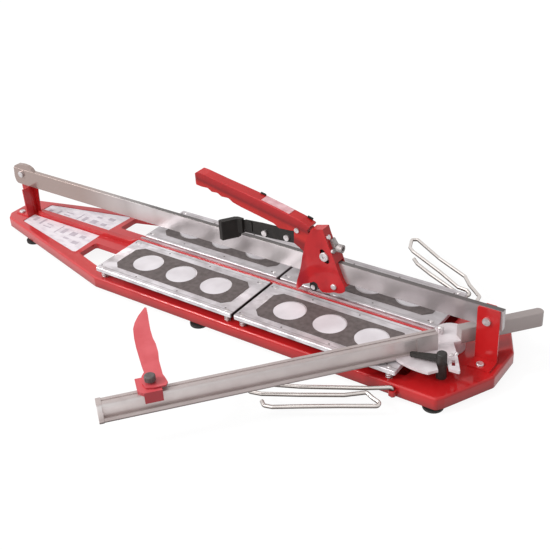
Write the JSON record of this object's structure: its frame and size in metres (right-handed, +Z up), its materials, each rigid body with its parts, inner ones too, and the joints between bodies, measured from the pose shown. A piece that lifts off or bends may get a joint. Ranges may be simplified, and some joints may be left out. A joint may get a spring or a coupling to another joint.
{
  "type": "tile cutter",
  "caption": "Manual tile cutter: a lever carriage on a raised rail scores and snaps tiles over a ridge, with sprung tables, a swinging measuring fence and folding wire supports.",
  "frame": {"origin": "bottom centre of the whole object at rest", "axes": "+X along the rail towards the front post, +Y to the far side, +Z up"},
  "size_m": [1.1367, 0.7552, 0.2363],
  "materials": {
    "red_paint": "glossy enamel",
    "pale_panel": "satin",
    "dark_steel": "polished dark steel",
    "zinc_sheet": "galvanised",
    "bright_steel": "bright plated",
    "wire_chrome": "polished",
    "hard_metal": "ground",
    "dark_pad": "matte",
    "ridge_edge": "worn",
    "foot_rubber": "matte",
    "black_paint": "satin black",
    "black_plastic": "moulded",
    "pale_label": "printed sheet, left bare",
    "fence_metal": "anodised",
    "cast_grey": "painted casting"
  },
  "bodies": {
    "base": {"base_frame": "red_paint", "base_screws": "bright_steel", "nose_panels": "pale_panel", "rubber_feet": "foot_rubber", "ridge_bar": "red_paint", "ridge_strip": "ridge_edge", "rail": "dark_steel", "rail_stop": "dark_steel", "nose_post": "red_paint", "front_post_near": "red_paint", "front_post_far": "red_paint", "rail_bolts": "bright_steel", "pivot_pedestal": "cast_grey", "wire_clips": "red_paint", "table_springs_1": "bright_steel", "table_springs_2": "bright_steel", "table_springs_3": "bright_steel", "table_springs_4": "bright_steel"},
    "carriage": {"carriage_housing": "red_paint", "end_bracket": "cast_grey", "carriage_knob": "cast_grey", "carriage_bolts": "bright_steel", "pivot_bolt": "bright_steel", "roller_bolt": "bright_steel"},
    "upper_roller": {"top_roller": "bright_steel"},
    "lower_roller": {"bottom_roller": "bright_steel"},
    "lever": {"handle": "red_paint", "handle_plate": "pale_label", "breaker_arms": "black_paint", "breaker_pad": "black_paint", "lever_bolts": "bright_steel", "wheel_axle": "bright_steel"},
    "wheel": {"cutting_wheel": "hard_metal"},
    "fence": {"fence_bar": "fence_metal", "fence_cap": "fence_metal", "fence_casting": "cast_grey", "fence_arm": "fence_metal", "fence_pin": "bright_steel", "protractor_screw": "bright_steel", "clamp_foot": "black_plastic", "clamp_stud": "bright_steel"},
    "clamp": {"clamp_lever": "black_plastic"},
    "slider": {"slider_block": "red_paint", "slider_stud": "bright_steel"},
    "blade": {"stop_blade": "red_paint"},
    "knob": {"stop_knob": "black_plastic"},
    "near_wire": {"side_wire_near": "wire_chrome"},
    "far_wire": {"side_wire_far": "wire_chrome"},
    "table_1": {"table_tray_1": "zinc_sheet", "table_pad_1": "dark_pad", "table_pins_1": "bright_steel"},
    "table_2": {"table_tray_2": "zinc_sheet", "table_pad_2": "dark_pad", "table_pins_2": "bright_steel"},
    "table_3": {"table_tray_3": "zinc_sheet", "table_pad_3": "dark_pad", "table_pins_3": "bright_steel"},
    "table_4": {"table_tray_4": "zinc_sheet", "table_pad_4": "dark_pad", "table_pins_4": "bright_steel"}
  },
  "joints": [
    {"name": "carriage_slide", "type": "slide", "parent": "base", "child": "carriage", "axis": [1, 0, 0], "range_m": [-0.43, 0.19]},
    {"name": "upper_roller_spin", "type": "hinge", "parent": "carriage", "child": "upper_roller", "pos_m": [0.2238, 0.0837, 0.1404], "axis": [0, 1, 0], "continuous": true},
    {"name": "lower_roller_spin", "type": "hinge", "parent": "carriage", "child": "lower_roller", "pos_m": [0.2412, 0.0837, 0.0863], "axis": [0, 1, 0], "continuous": true},
    {"name": "lever_hinge", "type": "hinge", "parent": "carriage", "child": "lever", "pos_m": [0.2238, 0.0837, 0.1404], "axis": [0, -1, 0], "range_deg": [-11, 15]},
    {"name": "wheel_spin", "type": "hinge", "parent": "lever", "child": "wheel", "pos_m": [0.1956, 0.0837, 0.069], "axis": [0, 1, 0], "continuous": true},
    {"name": "table_1_press", "type": "slide", "parent": "base", "child": "table_1", "axis": [0, 0, -1], "range_m": [0, 0.003], "stiffness_N_per_m": 4000, "springref_m": -0.002, "deforming": ["table_springs_1"]},
    {"name": "table_2_press", "type": "slide", "parent": "base", "child": "table_2", "axis": [0, 0, -1], "range_m": [0, 0.003], "stiffness_N_per_m": 4000, "springref_m": -0.002, "deforming": ["table_springs_2"]},
    {"name": "table_3_press", "type": "slide", "parent": "base", "child": "table_3", "axis": [0, 0, -1], "range_m": [0, 0.003], "stiffness_N_per_m": 4000, "springref_m": -0.002, "deforming": ["table_springs_3"]},
    {"name": "table_4_press", "type": "slide", "parent": "base", "child": "table_4", "axis": [0, 0, -1], "range_m": [0, 0.003], "stiffness_N_per_m": 4000, "springref_m": -0.002, "deforming": ["table_springs_4"]},
    {"name": "fence_swing", "type": "hinge", "parent": "base", "child": "fence", "pos_m": [0.4536, 0.0837, 0.056], "axis": [0, 0, 1], "range_deg": [-5, 20]},
    {"name": "clamp_turn", "type": "hinge", "parent": "fence", "child": "clamp", "pos_m": [0.4771, 0.0037, 0.07], "axis": [0, 0, 1], "range_deg": [0, 100]},
    {"name": "slider_slide", "type": "slide", "parent": "fence", "child": "slider", "axis": [0.6421, 0.7666, 0], "range_m": [-0.05, 0.15]},
    {"name": "blade_turn", "type": "hinge", "parent": "slider", "child": "blade", "pos_m": [0.15566, -0.30276, 0.096], "axis": [0, 0, 1], "range_deg": [-45, 90]},
    {"name": "knob_turn", "type": "hinge", "parent": "slider", "child": "knob", "pos_m": [0.15566, -0.30276, 0.096], "axis": [0, 0, 1], "continuous": true},
    {"name": "near_wire_swing", "type": "hinge", "parent": "base", "child": "near_wire", "pos_m": [0.4236, -0.0548, 0.02], "axis": [0, 0, 1], "range_deg": [-20, 60]},
    {"name": "far_wire_swing", "type": "hinge", "parent": "base", "child": "far_wire", "pos_m": [0.4336, 0.2232, 0.02], "axis": [0, 0, 1], "range_deg": [-60, 15]}
  ]
}
